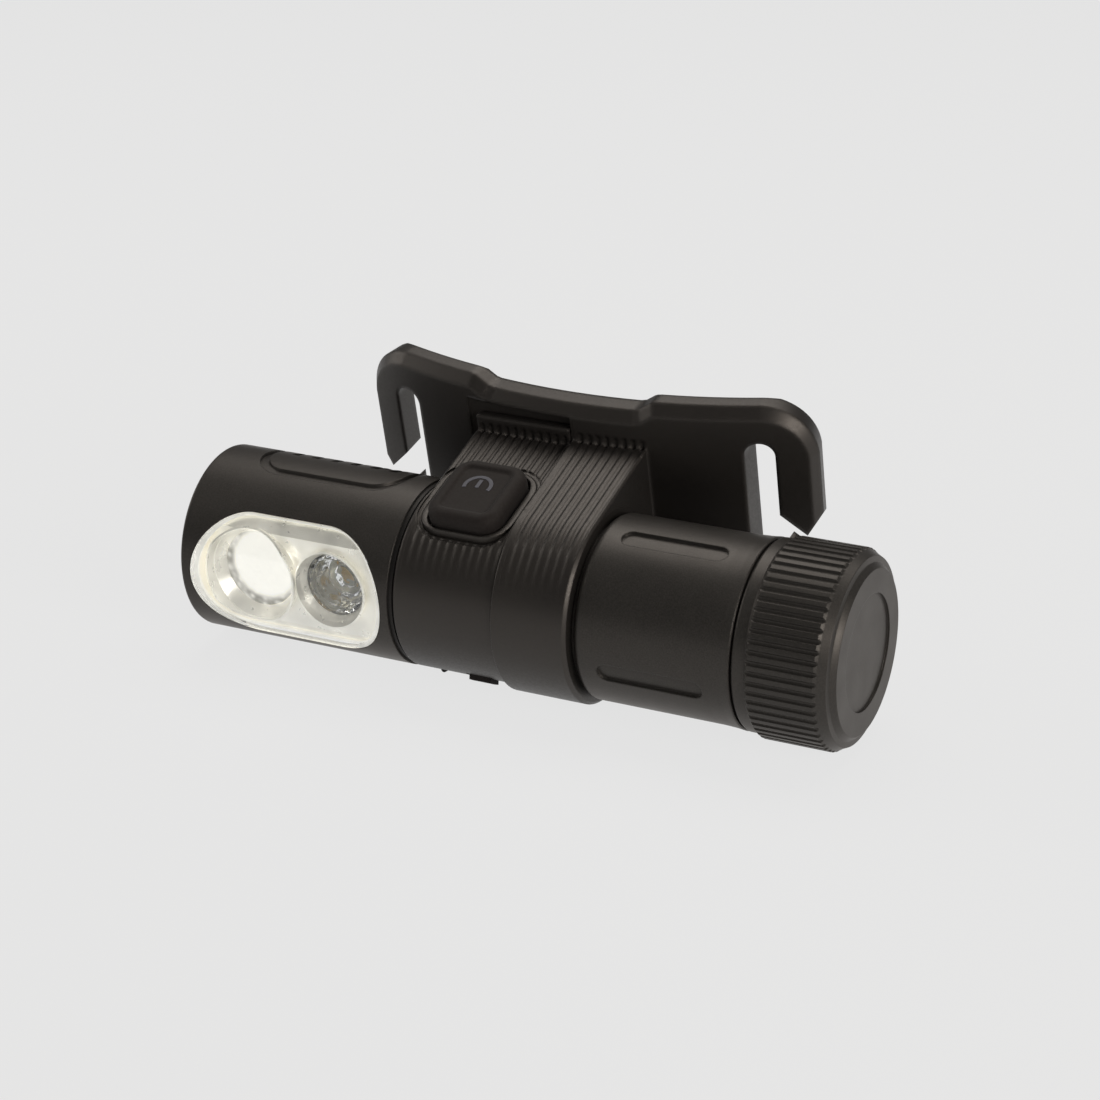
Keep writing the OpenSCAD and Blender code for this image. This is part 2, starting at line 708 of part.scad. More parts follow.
module tail_spring() color(gold) on_lamp() difference() {
  turned([[7.6, x_disc - 0.1], [7.6, x_disc - 0.45], [3.2, x_cell_end + 0.1], [2, x_cell_end + 0.1],
    [2, x_cell_end + 0.45], [3.1, x_cell_end + 0.45], [7.2, x_disc - 0.1]]);
  for (a = [0 : 60 : 300])
    rotate([a, 0, 0]) translate([x_cell_end - 1, -0.45, 3.8]) cube([6, 0.9, 6]);
}

module tail_contact() color(gold) on_lamp() rod(x_disc, x_cap_floor, spigot_bore_r - 0.8);

module retaining_ring() color(steel) on_lamp() difference() {
  collar(x_disc - 0.9, x_disc, spigot_bore_r + 0.1, spigot_bore_r - 1.3);
  for (a = [0, 180])
    rotate([a, 0, 0]) translate([x_disc - 1.5, -0.7, 8]) cube([1.1, 1.4, 4]);
}

bracket();
head_housing();
window_lens();
lens_gasket();
optic_frame();
flood_optic();
spot_optic();
led_board();
flood_led();
spot_led();
board_screws();
driver_board();
seam_ring();
switch_housing();
switch_board();
tact_switch();
button();
charging_port();
port_cover();
contact_carrier();
front_contact();
battery_tube();
tube_seals();
battery_cell();
battery_terminal();
tail_cap();
tail_spring();
tail_contact();
retaining_ring();
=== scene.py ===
"""Right-angle headlamp torch in its strap bracket: finishes, small pieces and a plain studio."""

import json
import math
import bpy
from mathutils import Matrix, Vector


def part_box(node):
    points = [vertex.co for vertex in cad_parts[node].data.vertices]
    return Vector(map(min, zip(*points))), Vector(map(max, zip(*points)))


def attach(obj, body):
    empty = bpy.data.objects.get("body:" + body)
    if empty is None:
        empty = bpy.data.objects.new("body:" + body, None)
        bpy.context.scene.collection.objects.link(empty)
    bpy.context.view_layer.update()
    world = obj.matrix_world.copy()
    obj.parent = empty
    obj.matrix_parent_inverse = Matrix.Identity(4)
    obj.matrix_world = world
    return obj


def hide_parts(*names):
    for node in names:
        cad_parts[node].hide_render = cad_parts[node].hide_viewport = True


bl_info = {
    "name": "Headlamp torch dresser",
    "version": (1, 0, 0),
    "blender": (4, 5, 0),
    "location": "3D View > Sidebar > Headlamp",
    "description": "Finishes and small pieces for a right-angle torch in its strap bracket",
    "category": "Object",
}

import bpy
from mathutils import Matrix, Vector

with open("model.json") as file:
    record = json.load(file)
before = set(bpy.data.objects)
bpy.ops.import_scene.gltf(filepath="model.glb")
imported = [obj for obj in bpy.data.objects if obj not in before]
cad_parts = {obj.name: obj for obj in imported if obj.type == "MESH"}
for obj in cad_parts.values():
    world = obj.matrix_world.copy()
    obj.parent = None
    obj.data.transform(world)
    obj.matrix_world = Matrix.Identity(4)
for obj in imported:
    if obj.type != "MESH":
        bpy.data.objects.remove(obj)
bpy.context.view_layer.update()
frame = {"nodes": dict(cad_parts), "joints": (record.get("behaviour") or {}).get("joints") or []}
NODES = frame["nodes"]
JOINTS = {joint["name"]: joint for joint in frame["joints"]}
MM = 0.001

# directions and places that the solids share, in metres
X_AXIS = Vector((1, 0, 0))
AXIS_Y, AXIS_Z = JOINTS["lamp_tilt"]["pos_m"][1:]
AXIS = Vector((0, AXIS_Y, AXIS_Z))
SLOPE_NORMAL = -Vector(JOINTS["button_press"]["axis"]).normalized()
SLOPE_UP = SLOPE_NORMAL.cross(X_AXIS)
LIGHT_DIP = math.radians(5.4)
LAMP_UP = Vector((0, -math.sin(LIGHT_DIP), math.cos(LIGHT_DIP)))
LAMP_AHEAD = Vector((0, -math.cos(LIGHT_DIP), -math.sin(LIGHT_DIP)))
PLATE_TILT = math.radians(14)
PLATE_NORMAL = Vector((0, math.cos(PLATE_TILT), math.sin(PLATE_TILT)))
PLATE_FRONT = PLATE_NORMAL.dot(AXIS) + 15.5 * MM

# ribs of the slopes: pitch, first groove and number of grooves on each moulding
RIB_PITCH = 1.417 * MM
BRACKET_RIBS = (2.27 * MM, 8)
HOUSING_RIBS = (-14.7 * MM, 11)

# rolled thread under the cap
THREAD_PITCH = 1.25 * MM
THREAD_START = 3.4 * MM

# camera fitted to the photograph's outlines
CAMERA_PLACE = (0.18620, AXIS_Y - 0.36396, AXIS_Z + 0.16271)
CAMERA_TURN = (math.radians(90 - 20.907), 0, math.radians(26.731))
CAMERA_LENS = 94.97
CAMERA_SENSOR = 36.0


def srgb(code):
    """Linear RGBA from an sRGB hex code."""
    parts = [int(code[i:i + 2], 16) / 255 for i in (1, 3, 5)]
    linear = (c / 12.92 if c <= 0.04045 else ((c + 0.055) / 1.055) ** 2.4 for c in parts)
    return tuple(linear) + (1.0,)


# node helpers

def wire(tree, node, inputs):
    """Sets or links the inputs of a node."""
    for key, value in inputs.items():
        if isinstance(value, bpy.types.NodeSocket):
            tree.links.new(value, node.inputs[key])
        else:
            node.inputs[key].default_value = value


def add(tree, kind, inputs=None, **settings):
    """Adds a node with its properties and inputs."""
    made = tree.nodes.new(kind)
    for key, value in settings.items():
        setattr(made, key, value)
    wire(tree, made, inputs or {})
    return made


def maths(tree, operation, *values):
    """Result of one Math node."""
    return add(tree, "ShaderNodeMath", dict(enumerate(values)), operation=operation).outputs[0]


def vector_maths(tree, operation, *values):
    """Number that one Vector Math node gives."""
    made = add(tree, "ShaderNodeVectorMath", dict(enumerate(values)), operation=operation)
    return made.outputs["Value"]


def axes_from(tree, spot, origin):
    """X, Y and Z outputs of a place, counted from an origin."""
    local = add(tree, "ShaderNodeMapping", {"Vector": spot, "Location": tuple(-c for c in origin)})
    return add(tree, "ShaderNodeSeparateXYZ", {"Vector": local.outputs[0]}).outputs


def grain(tree, spot, size_mm, detail=2.0):
    """Noise whose lumps are size_mm across."""
    made = add(tree, "ShaderNodeTexNoise",
               {"Vector": spot, "Scale": 1 / (size_mm * MM), "Detail": detail})
    return made.outputs["Fac"]


def pebbles(tree, spot, size_mm):
    """Distance from the middle of soft-edged cells that are size_mm across."""
    made = add(tree, "ShaderNodeTexVoronoi", {"Vector": spot, "Scale": 1 / (size_mm * MM)},
               feature="SMOOTH_F1")
    return made.outputs["Distance"]


def spread(tree, value, low, high, to_low, to_high, **settings):
    """Maps one range of a value to another."""
    made = add(tree, "ShaderNodeMapRange", {"Value": value, "From Min": low, "From Max": high,
                                            "To Min": to_low, "To Max": to_high}, **settings)
    return made.outputs["Result"]


def around(tree, value, middle, width):
    """Maps a noise to a narrow range round a middle value."""
    return spread(tree, value, 0.3, 0.7, middle - width, middle + width)


def mix_colours(tree, factor, first, second):
    """Blend of two colours by a factor."""
    return add(tree, "ShaderNodeMix", {"Factor": factor, "A": first, "B": second},
               data_type="RGBA").outputs[2]


def bumped(tree, height, strength, depth_mm, base=None, invert=False):
    """Normal bent by a height, over a base normal where one is given."""
    inputs = {"Height": height, "Strength": strength, "Distance": depth_mm * MM}
    if base is not None:
        inputs["Normal"] = base
    return add(tree, "ShaderNodeBump", inputs, invert=invert).outputs["Normal"]


def surface(name):
    """A new material with one Principled shader: material, tree, shader, object coordinates."""
    mat = bpy.data.materials.new(name)
    mat.use_nodes = True
    tree = mat.node_tree
    tree.nodes.clear()
    shader = add(tree, "ShaderNodeBsdfPrincipled")
    add(tree, "ShaderNodeOutputMaterial", {"Surface": shader.outputs["BSDF"]})
    spot = add(tree, "ShaderNodeTexCoord").outputs["Object"]
    return mat, tree, shader, spot


# modelling helpers

def dress(node, mat):
    """Gives a CAD node one material."""
    if node not in NODES:
        raise RuntimeError("no solid named " + node)
    slots = NODES[node].data.materials
    slots.clear()
    slots.append(mat)


def clear_selection():
    """Goes back to object mode with nothing selected, and to picking by vertex."""
    if bpy.context.object and bpy.context.object.mode != "OBJECT":
        bpy.ops.object.mode_set(mode="OBJECT")
    bpy.ops.object.select_all(action="DESELECT")
    bpy.context.scene.tool_settings.mesh_select_mode = (True, False, False)


def select_alone(piece):
    """Makes one piece active, with nothing else selected."""
    clear_selection()
    piece.select_set(True)
    bpy.context.view_layer.objects.active = piece


def pick(piece, edges=None, faces=None):
    """Selects the edges or faces of a mesh that a test accepts, and goes on in edit mode."""
    bpy.ops.object.mode_set(mode="EDIT")
    bpy.ops.mesh.select_mode(type="EDGE" if edges else "FACE")
    bpy.ops.mesh.select_all(action="DESELECT")
    bpy.ops.object.mode_set(mode="OBJECT")
    points = piece.data.vertices
    if edges:
        for edge in piece.data.edges:
            edge.select = edges(*(points[i].co for i in edge.vertices))
    else:
        for face in piece.data.polygons:
            face.select = faces(face)
    bpy.ops.object.mode_set(mode="EDIT")


def apply_modifier(piece, name, kind, **settings):
    """Adds a modifier to the active piece and applies it."""
    modifier = piece.modifiers.new(name, kind)
    for key, value in settings.items():
        setattr(modifier, key, value)
    bpy.ops.object.modifier_apply(modifier=name)
    if len(piece.data.polygons) == 0:
        raise RuntimeError("nothing left of " + piece.name)


def freeze():
    """Applies the active piece's own place, turn and scale."""
    bpy.ops.object.transform_apply(location=True, rotation=True, scale=True)


def seat(piece, place, up, out, mat):
    """Takes the active piece from the origin to its place on the lamp, and dresses it."""
    turn = Matrix((X_AXIS, up, out)).transposed().to_4x4()
    piece.matrix_world = Matrix.Translation(place) @ turn
    freeze()
    piece.data.materials.clear()
    piece.data.materials.append(mat)


# finishes

def pocket_mask(tree, spot):
    """1 inside the window's pocket in the head, 0 elsewhere."""
    low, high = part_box("window_lens")
    heights = [LAMP_UP.dot(v.co) for v in NODES["window_lens"].data.vertices]
    radius = (max(heights) - min(heights)) / 2 + 0.12 * MM
    local = add(tree, "ShaderNodeMapping", {"Vector": spot, "Location": (0, -AXIS_Y, -AXIS_Z)})
    turned = add(tree, "ShaderNodeVectorRotate", {"Vector": local.outputs[0], "Angle": -LIGHT_DIP},
                 rotation_type="X_AXIS")
    axes = add(tree, "ShaderNodeSeparateXYZ", {"Vector": turned.outputs[0]}).outputs
    nearest = add(tree, "ShaderNodeClamp", {"Value": axes["X"], "Min": low.x + radius,
                                            "Max": high.x - radius})
    across = maths(tree, "SUBTRACT", axes["X"], nearest.outputs[0])
    flat = add(tree, "ShaderNodeCombineXYZ", {"X": across, "Y": axes["Z"]})
    inside = maths(tree, "LESS_THAN", vector_maths(tree, "LENGTH", flat.outputs[0]), radius)
    front = maths(tree, "LESS_THAN", axes["Y"], 0.0)
    return maths(tree, "MULTIPLY", inside, front)


def anodised_aluminium(edge_mm, thread_x=None, pocket=False):
    """Bead-blasted, black anodised aluminium: soft satin sheen with a fine even grit."""
    mat, tree, shader, spot = surface("anodised_aluminium_blasted")
    style = bpy.context.scene.headlamp_style
    # the real grit is about 0.08 mm; drawn at 0.22 mm so that it shows
    grit = grain(tree, spot, 0.22, 3.0)
    shade = spread(tree, grit, 0.35, 0.65, 0.0, 1.0)
    colour = mix_colours(tree, shade, srgb(style.metal_colour), srgb(style.metal_light))
    height = grit
    if thread_x is not None:
        # on the part of the spigot that the cap hides
        wave = add(tree, "ShaderNodeTexWave", {"Vector": spot, "Scale": math.pi / (20 * THREAD_PITCH)},
                   wave_type="BANDS", bands_direction="X", wave_profile="TRI")
        along = axes_from(tree, spot, (0, 0, 0))["X"]
        threaded = maths(tree, "GREATER_THAN", along, thread_x)
        ridge = maths(tree, "MULTIPLY", wave.outputs["Fac"], threaded)
        height = maths(tree, "MULTIPLY_ADD", ridge, 24.0, height)
    edge = add(tree, "ShaderNodeBevel", {"Radius": edge_mm * MM}, samples=4)
    if pocket:
        # painted light: the pocket's wall is painted pale and glowing, standing in for the emitter's
        # stray light on it
        inner = pocket_mask(tree, spot)
        colour = mix_colours(tree, inner, colour, srgb("#e9e6dd"))
        wire(tree, shader, {"Emission Strength": maths(tree, "MULTIPLY", inner, style.stray_light),
                            "Emission Color": srgb("#f1ecdf")})
    wire(tree, shader, {
        "Base Color": colour,
        "Roughness": around(tree, grain(tree, spot, 6.0), style.metal_roughness, 0.03),
        "Normal": bumped(tree, height, 0.5, 0.016, edge.outputs["Normal"]),
        "Metallic": 0.25,
        "Specular Tint": srgb(style.sheen_tint),
    })
    return mat


def fading_ribs(tree, spot, first_x, count):
    """Height of the ribs where they run out over the round front, below the slope's own ribs."""
    axes = axes_from(tree, spot, (first_x, AXIS_Y, AXIS_Z))
    forward = maths(tree, "MULTIPLY", axes["Y"], -1.0)
    angle = maths(tree, "ARCTAN2", axes["Z"], forward)
    tangent = math.atan2(SLOPE_NORMAL.z, -SLOPE_NORMAL.y)
    starts = spread(tree, angle, tangent - math.radians(2), tangent - math.radians(24), 0.0, 1.0)
    ends = spread(tree, angle, tangent - math.radians(50), tangent - math.radians(20), 0.0, 1.0)
    above = maths(tree, "GREATER_THAN", axes["X"], -0.5 * RIB_PITCH)
    below = maths(tree, "LESS_THAN", axes["X"], (count - 0.5) * RIB_PITCH)
    height = maths(tree, "COSINE", maths(tree, "MULTIPLY", axes["X"], 2 * math.pi / RIB_PITCH))
    for part in (starts, ends, above, below):
        height = maths(tree, "MULTIPLY", height, part)
    return height


def moulded_nylon(first_x=0.0, count=0):
    """Glass-filled nylon, injection moulded: black, half matt, faintly spark-eroded."""
    mat, tree, shader, spot = surface("glass_filled_nylon_moulded")
    style = bpy.context.scene.headlamp_style
    pits = grain(tree, spot, 0.35, 2.0)
    flow = spread(tree, grain(tree, spot, 14.0, 1.0), 0.3, 0.7, 0.0, 1.0)
    # broad roundings on the strap plate, narrow ones on the ribs
    depth = vector_maths(tree, "DOT_PRODUCT", spot, PLATE_NORMAL)
    radius = spread(tree, depth, PLATE_FRONT, PLATE_FRONT + 0.5 * MM, 0.35 * MM, 0.9 * MM)
    edge = add(tree, "ShaderNodeBevel", {"Radius": radius}, samples=6).outputs["Normal"]
    ribs = bumped(tree, fading_ribs(tree, spot, first_x, count), 0.6, 0.1, edge, invert=True)
    wire(tree, shader, {
        "Base Color": mix_colours(tree, flow, srgb(style.nylon_colour), srgb(style.nylon_light)),
        "Roughness": around(tree, pits, style.nylon_roughness, 0.05),
        "Normal": bumped(tree, pits, 0.22, 0.012, ribs),
        "IOR": 1.53,
        "Specular Tint": srgb(style.sheen_tint),
    })
    return mat


def moulded_rubber(name, code, roughness):
    """Rubber, pressed in a mould: matt and slightly dusty."""
    mat, tree, shader, spot = surface(name)
    style = bpy.context.scene.headlamp_style
    dust = grain(tree, spot, 0.5, 3.0)
    share = spread(tree, dust, 0.35, 0.75, 0.0, 0.35)
    wire(tree, shader, {
        "Base Color": mix_colours(tree, share, srgb(code), srgb("#242221")),
        "Normal": bumped(tree, dust, 0.2, 0.01),
        "Roughness": roughness,
        "IOR": 1.33,
        "Specular Tint": srgb(style.sheen_tint),
        "Sheen Weight": 0.03,
    })
    return mat


def white_silicone_painted_glow():
    """Pale silicone seal with a painted glow: painted light standing in for the emitter's stray light
    round the window's edge.
    """
    mat, tree, shader, spot = surface("silicone_rubber_white_painted_glow")
    stray = bpy.context.scene.headlamp_style.stray_light
    wire(tree, shader, {
        "Emission Strength": spread(tree, grain(tree, spot, 3.0), 0.3, 0.7, 1.2 * stray, 1.7 * stray),
        "Emission Color": srgb("#f6f4ec"),
        "Base Color": srgb("#e2e0d8"),
        "Roughness": 0.5,
    })
    return mat


def clear_polycarbonate():
    """Polycarbonate, moulded and hard coated: clear, with hardly any waviness."""
    mat, tree, shader, spot = surface("polycarbonate_clear_moulded")
    wire(tree, shader, {
        "Normal": bumped(tree, grain(tree, spot, 9.0, 0.0), 0.08, 0.02),
        "Base Color": srgb("#fdfefe"),
        "Roughness": 0.02,
        "IOR": 1.45,
        "Transmission Weight": 1.0,
    })
    return mat


def optic_acrylic():
    """Acrylic, moulded with pebbled lenslets that break the light up."""
    mat, tree, shader, spot = surface("acrylic_moulded_pebbled")
    wire(tree, shader, {
        "Normal": bumped(tree, pebbles(tree, spot, 1.6), 0.8, 0.35, invert=True),
        "Base Color": srgb("#fbfcfc"),
        "Roughness": 0.04,
        "IOR": 1.49,
        "Transmission Weight": 1.0,
    })
    return mat


def lit_optic(glare_centre):
    """The same acrylic with its emitter on: a white heart that falls off to pebbles at the rim."""
    mat, tree, shader, spot = surface("acrylic_moulded_lit")
    style = bpy.context.scene.headlamp_style
    away = vector_maths(tree, "DISTANCE", spot, glare_centre)
    cells = pebbles(tree, spot, 1.1)
    heart = spread(tree, away, 6.7 * MM, 5.4 * MM, 0.0, 1.0, interpolation_type="SMOOTHSTEP")
    pebble = spread(tree, cells, 0.1, 0.6, 0.55, 0.05)
    glow = add(tree, "ShaderNodeMix", {"Factor": heart, "A": pebble, "B": style.glow_strength},
               data_type="FLOAT")
    wire(tree, shader, {
        "Emission Strength": glow.outputs[0],
        "Emission Color": srgb("#fffdf6"),
        "Normal": bumped(tree, cells, 0.6, 0.35, invert=True),
        "Base Color": srgb("#b9b6ac"),
        "Roughness": 0.12,
        "IOR": 1.49,
    })
    return mat


def metallised_plastic(glare_centre, dark_centre):
    """Vacuum-metallised plastic, satin: pale silver, with a painted glow and a painted glare standing
    in for the emitter's stray light.
    """
    mat, tree, shader, spot = surface("vacuum_metallised_plastic_painted_glow")
    stray = bpy.context.scene.headlamp_style.stray_light
    # painted light: a glow that falls off away from the lit optic, with a painted glare beside it
    away = vector_maths(tree, "DISTANCE", spot, glare_centre)
    fall = spread(tree, away, 6 * MM, 20 * MM, 1.1 * stray, 0.75 * stray)
    glare = spread(tree, away, 4.5 * MM, 8.5 * MM, 2.0 * stray, 0.0)
    # painted shade: the painted glow is dimmed round the cup of the unlit optic
    apart = vector_maths(tree, "DISTANCE", spot, dark_centre)
    rim = spread(tree, apart, 4.6 * MM, 6.4 * MM, 0.05, 1.0)
    # painted shade: the cups' sloping walls get less painted glow than the flat face, and the painted
    # glow is uneven in blotches
    normal = add(tree, "ShaderNodeNewGeometry").outputs["Normal"]
    ahead = vector_maths(tree, "DOT_PRODUCT", normal, LAMP_AHEAD)
    slope = spread(tree, ahead, 0.8, 0.97, 0.62, 1.0)
    glow_blotches = spread(tree, grain(tree, spot, 4.0, 1.0), 0.38, 0.62, 0.6, 1.15)
    glow = maths(tree, "ADD", fall, glare)
    for part in (rim, slope, glow_blotches):
        glow = maths(tree, "MULTIPLY", glow, part)
    haze = grain(tree, spot, 1.5, 2.0)
    wire(tree, shader, {
        "Emission Strength": glow,
        "Emission Color": srgb("#f3eee0"),
        "Roughness": spread(tree, haze, 0.3, 0.7, 0.26, 0.4),
        "Normal": bumped(tree, haze, 0.1, 0.02),
        "Base Color": srgb("#e9e7df"),
        "Metallic": 0.6,
    })
    return mat


def turned_metal(name, code, roughness):
    """Drawn or turned bright metal: fine lines round the axis of the torch."""
    mat, tree, shader, spot = surface(name)
    stretched = add(tree, "ShaderNodeMapping", {"Vector": spot, "Scale": (6.0, 1.0, 1.0)})
    lines = grain(tree, stretched.outputs[0], 0.6, 2.0)
    wire(tree, shader, {
        "Roughness": around(tree, lines, roughness, 0.08),
        "Normal": bumped(tree, lines, 0.15, 0.006),
        "Base Color": srgb(code),
        "Metallic": 1.0,
    })
    return mat


def circuit_board(name, mask, trace):
    """Masked circuit board: lacquer with faint copper runs beneath it."""
    mat, tree, shader, spot = surface(name)
    runs = add(tree, "ShaderNodeTexBrick", {
        "Vector": spot, "Scale": 1 / (3.2 * MM), "Mortar Size": 0.05,
        "Color1": srgb(mask), "Color2": srgb(mask), "Mortar": srgb(trace)})
    wire(tree, shader, {
        "Base Color": runs.outputs["Color"],
        "Normal": bumped(tree, grain(tree, spot, 0.4), 0.1, 0.01),
        "Roughness": 0.32,
    })
    return mat


def phosphor(name, code, glow):
    """Phosphor on a small emitter: chalky yellow, glowing where it is switched on."""
    mat, tree, shader, spot = surface(name)
    chalk = grain(tree, spot, 0.12)
    wire(tree, shader, {
        "Base Color": mix_colours(tree, chalk, srgb(code), srgb("#fff1b0")),
        "Roughness": 0.55,
        "Emission Color": srgb("#fffaf0"),
        "Emission Strength": glow,
    })
    return mat


def moulded_plastic(name, code, roughness):
    """Plain moulded plastic or shrink film with a faint unevenness."""
    mat, tree, shader, spot = surface(name)
    uneven = grain(tree, spot, 2.5, 2.0)
    wire(tree, shader, {
        "Roughness": around(tree, uneven, roughness, 0.06),
        "Normal": bumped(tree, uneven, 0.12, 0.02),
        "Base Color": srgb(code),
    })
    return mat


def pad_print_ink():
    """Pad-printed ink: dull blue grey with a slight speckle."""
    mat, tree, shader, spot = surface("pad_print_ink_grey")
    style = bpy.context.scene.headlamp_style
    wire(tree, shader, {
        "Base Color": mix_colours(tree, grain(tree, spot, 0.3), srgb(style.mark_colour),
                                  srgb("#373741")),
        "Roughness": 0.5,
    })
    return mat


class HeadlampStyle(bpy.types.PropertyGroup):
    """Sizes and colours that a user would change."""
    metal_colour: bpy.props.StringProperty(
        name="Metal colour", description="Anodised metal, sRGB hex", default="#232220")
    metal_light: bpy.props.StringProperty(
        name="Metal grit colour", description="Lighter grains of the anodised metal, sRGB hex",
        default="#2f2d2b")
    metal_roughness: bpy.props.FloatProperty(
        name="Metal roughness", description="Sheen of the anodised metal",
        default=0.41, min=0.1, max=0.9, subtype="FACTOR")
    nylon_colour: bpy.props.StringProperty(
        name="Nylon colour", description="Moulded bracket and switch housing, sRGB hex",
        default="#171514")
    nylon_light: bpy.props.StringProperty(
        name="Nylon flow colour", description="Lighter areas of the moulding, sRGB hex",
        default="#1c1a18")
    nylon_roughness: bpy.props.FloatProperty(
        name="Nylon roughness", description="Sheen of the mouldings",
        default=0.43, min=0.1, max=0.9, subtype="FACTOR")
    rubber_colour: bpy.props.StringProperty(
        name="Rubber colour", description="Button and charging cover, sRGB hex", default="#161211")
    sheen_tint: bpy.props.StringProperty(
        name="Sheen tint", description="Warm tint of the sheen on metal, nylon and rubber, sRGB hex",
        default="#fff4ea")
    mark_colour: bpy.props.StringProperty(
        name="Mark colour", description="Power mark on the button, sRGB hex", default="#2e2e37")
    mark_radius: bpy.props.FloatProperty(
        name="Mark radius", description="Outer radius of the power mark",
        default=2.4 * MM, unit="LENGTH")
    mark_stroke: bpy.props.FloatProperty(
        name="Mark stroke", description="Width of the mark's strokes",
        default=0.62 * MM, unit="LENGTH")
    button_width: bpy.props.FloatProperty(
        name="Button width", description="Width of the button along the torch",
        default=12.2 * MM, unit="LENGTH")
    wall_thickness: bpy.props.FloatProperty(
        name="Dish wall", description="Thickness of the walls round the optics",
        default=0.3 * MM, unit="LENGTH")
    glow_strength: bpy.props.FloatProperty(
        name="Glow", description="Brightness of the lit optic", default=0.75, min=0.0, max=20.0)
    stray_light: bpy.props.FloatProperty(
        name="Stray light", description="Light from the emitter on the frame and pocket",
        default=0.35, min=0.0, max=5.0)
    floor_colour: bpy.props.StringProperty(
        name="Floor colour", description="Floor and backdrop, sRGB hex", default="#e6e6e6")
    key_power: bpy.props.FloatProperty(
        name="Top light", description="Power of the soft box above",
        default=3.5, min=0.0, unit="POWER")
    side_power: bpy.props.FloatProperty(
        name="Side lights", description="Power of the soft boxes beside",
        default=2.0, min=0.0, unit="POWER")


class HEADLAMP_OT_metal(bpy.types.Operator):
    """Finishes head, tube and cap in anodised aluminium"""
    bl_idname = "headlamp.metal"
    bl_label = "Anodised metal"

    def execute(self, context):
        dress("head_housing", anodised_aluminium(0.25, pocket=True))
        dress("tail_cap", anodised_aluminium(0.22))
        cap_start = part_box("tail_cap")[0].x
        dress("battery_tube", anodised_aluminium(0.4, thread_x=cap_start + THREAD_START))
        return {"FINISHED"}


class HEADLAMP_OT_mouldings(bpy.types.Operator):
    """Finishes bracket and switch housing in moulded nylon"""
    bl_idname = "headlamp.mouldings"
    bl_label = "Nylon mouldings"

    def execute(self, context):
        dress("bracket", moulded_nylon(*BRACKET_RIBS))
        dress("switch_housing", moulded_nylon(*HOUSING_RIBS))
        return {"FINISHED"}


class HEADLAMP_OT_rubber(bpy.types.Operator):
    """Finishes button, charging cover and seals"""
    bl_idname = "headlamp.rubber"
    bl_label = "Rubber pieces"

    def execute(self, context):
        style = context.scene.headlamp_style
        soft = moulded_rubber("silicone_rubber_moulded", style.rubber_colour, 0.72)
        dress("button", soft)
        dress("port_cover", soft)
        seal = moulded_rubber("nitrile_rubber_seal", "#121212", 0.45)
        dress("seam_ring", seal)
        dress("tube_seals", seal)
        dress("lens_gasket", white_silicone_painted_glow())
        return {"FINISHED"}


class HEADLAMP_OT_optics(bpy.types.Operator):
    """Finishes window, optics, frame and emitters"""
    bl_idname = "headlamp.optics"
    bl_label = "Window and optics"

    def execute(self, context):
        low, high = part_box("flood_optic")
        # the glare sits towards the upper right of the lit optic, as seen from in front
        glare_centre = tuple((low + high) / 2 + Vector((0.9, 0, 0.9)) * MM)
        low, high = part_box("spot_optic")
        dark_centre = tuple((low + high) / 2)
        dress("window_lens", clear_polycarbonate())
        dress("flood_optic", lit_optic(glare_centre))
        dress("spot_optic", optic_acrylic())
        dress("optic_frame", metallised_plastic(glare_centre, dark_centre))
        dress("led_board", circuit_board("metal_core_board_white_mask", "#e6e6e0", "#d2d0c6"))
        dress("flood_led", phosphor("phosphor_lit", "#ffe9a0", 1.0))
        dress("spot_led", phosphor("phosphor_dark", "#d08f24", 0.0))
        dress("board_screws", turned_metal("steel_zinc_plated", "#b9babb", 0.35))
        return {"FINISHED"}


class HEADLAMP_OT_dish_walls(bpy.types.Operator):
    """Models the thin walls that rise from the silvered frame round both optics"""
    bl_idname = "headlamp.dish_walls"
    bl_label = "Dish walls"

    def wall(self, context, node, name, grow, rise):
        """One wall, grow wider than its optic and rise high, cut to the window's curve."""
        low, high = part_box(node)
        radius = (high.x - low.x) / 2 + grow
        # the frame's flat front, and the inner face of the curved window
        front = max(LAMP_AHEAD.dot(v.co - AXIS) for v in NODES["optic_frame"].data.vertices)
        inside = min((v.co - AXIS).yz.length for v in NODES["window_lens"].data.vertices)
        clear_selection()
        bpy.ops.mesh.primitive_circle_add(vertices=128, radius=radius, fill_type="NOTHING",
                                          location=(0, 0, front - 0.05 * MM))
        wall = context.object
        wall.name = name
        freeze()
        bpy.ops.object.mode_set(mode="EDIT")
        bpy.ops.mesh.select_all(action="SELECT")
        bpy.ops.mesh.extrude_region_move(TRANSFORM_OT_translate={"value": (0, 0, rise)})
        flare = 1 + 0.25 * MM / radius
        bpy.ops.transform.resize(value=(flare, flare, 1))
        bpy.ops.object.mode_set(mode="OBJECT")
        apply_modifier(wall, "thickness", "SOLIDIFY", offset=0,
                       thickness=context.scene.headlamp_style.wall_thickness)
        clear_selection()
        bpy.ops.mesh.primitive_cylinder_add(vertices=256, radius=inside - 0.3 * MM, depth=60 * MM,
                                            rotation=(0, math.pi / 2, 0))
        curve = context.object
        select_alone(wall)
        apply_modifier(wall, "curve", "BOOLEAN", operation="INTERSECT", object=curve)
        bpy.data.objects.remove(curve)
        bpy.ops.object.shade_smooth_by_angle(angle=math.radians(35))
        place = ((low.x + high.x) / 2, AXIS_Y, AXIS_Z)
        seat(wall, place, LAMP_UP, LAMP_AHEAD, NODES["optic_frame"].data.materials[0])
        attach(wall, "lamp")
        clear_selection()

    def execute(self, context):
        self.wall(context, "flood_optic", "flood_dish_wall", 1.4 * MM, 1.7 * MM)
        self.wall(context, "spot_optic", "spot_dish_wall", 0.8 * MM, 0.9 * MM)
        return {"FINISHED"}


